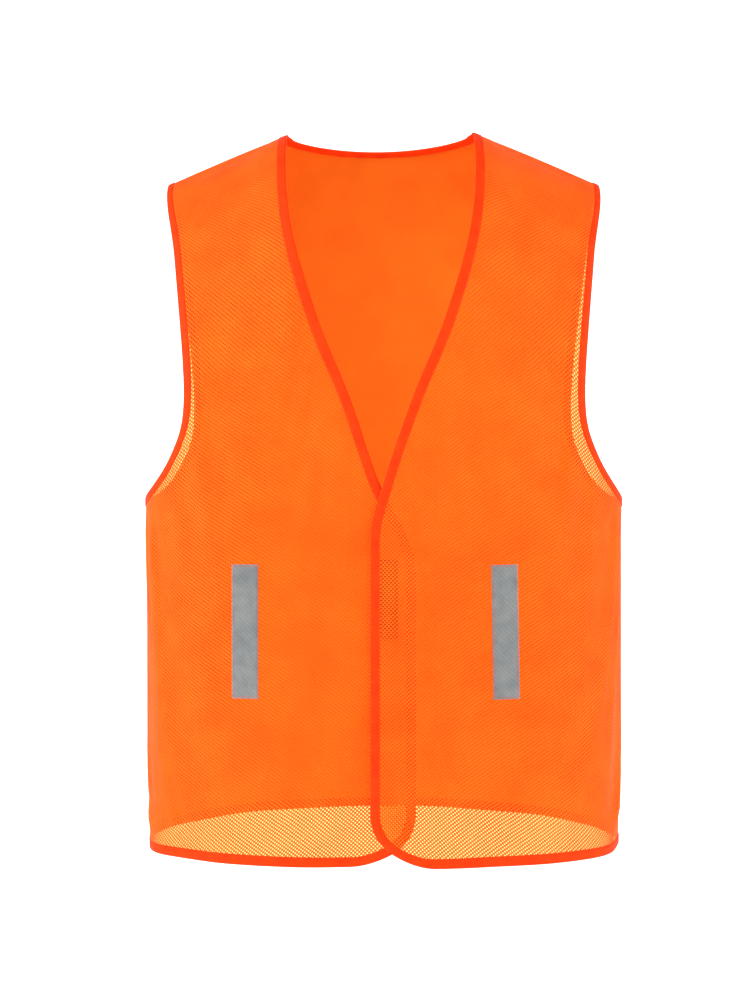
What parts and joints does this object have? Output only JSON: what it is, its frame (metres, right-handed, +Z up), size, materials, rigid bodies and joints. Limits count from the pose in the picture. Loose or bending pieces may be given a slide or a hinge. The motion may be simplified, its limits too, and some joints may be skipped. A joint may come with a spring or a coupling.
{
  "type": "safety vest",
  "caption": "Sleeveless V-neck mesh vest with bound edges, a hook-and-loop front closure and two upright reflective strips, closed as worn.",
  "frame": {"origin": "between the two neck points, level with the shoulder line where the collar rests", "axes": "+X to the wearer's left, +Y to the wearer's back, +Z up"},
  "size_m": [0.4741, 0.27, 0.7065],
  "materials": {
    "mesh_cloth": "knitted polyester mesh, blaze orange",
    "edge_binding": "folded woven polyester tape, red orange",
    "seam_thread": "overlocked and stitched polyester thread",
    "reflective_tape": "glass-bead reflective tape, silver grey",
    "hook_and_loop": "woven nylon hook and loop tape, orange"
  },
  "bodies": {
    "garment": {"back_panel": "mesh_cloth", "back_neck_binding": "edge_binding", "back_hem_binding": "edge_binding", "left_front_side_panel": "mesh_cloth", "left_neck_binding": "edge_binding", "left_side_hem_binding": "edge_binding", "left_armhole_binding": "edge_binding", "left_shoulder_seam": "seam_thread", "left_side_seam": "seam_thread", "right_front_side_panel": "mesh_cloth", "right_neck_binding": "edge_binding", "right_side_hem_binding": "edge_binding", "right_armhole_binding": "edge_binding", "right_shoulder_seam": "seam_thread", "right_side_seam": "seam_thread"},
    "left_front": {"left_front_panel": "mesh_cloth", "left_front_binding": "edge_binding", "left_reflective_strip": "reflective_tape", "left_strip_stitching": "seam_thread", "left_front_hook_patch": "hook_and_loop", "left_hook_patch_stitching": "seam_thread"},
    "right_front": {"right_front_panel": "mesh_cloth", "right_front_binding": "edge_binding", "right_reflective_strip": "reflective_tape", "right_strip_stitching": "seam_thread", "right_front_loop_patch": "hook_and_loop", "right_loop_patch_stitching": "seam_thread"}
  },
  "joints": [
    {"name": "left_front_opening", "type": "hinge", "parent": "garment", "child": "left_front", "pos_m": [0.141, -0.11862, -0.427], "axis": [-0.2425, -0.0847, 0.9665], "range_deg": [0, 110]},
    {"name": "right_front_opening", "type": "hinge", "parent": "garment", "child": "right_front", "pos_m": [-0.148, -0.11386, -0.427], "axis": [-0.2422, 0.0973, -0.9653], "range_deg": [0, 66]}
  ],
  "couplings": [
    {"joint": "right_front_opening", "follows": "left_front_opening", "ratio": 0.6}
  ]
}
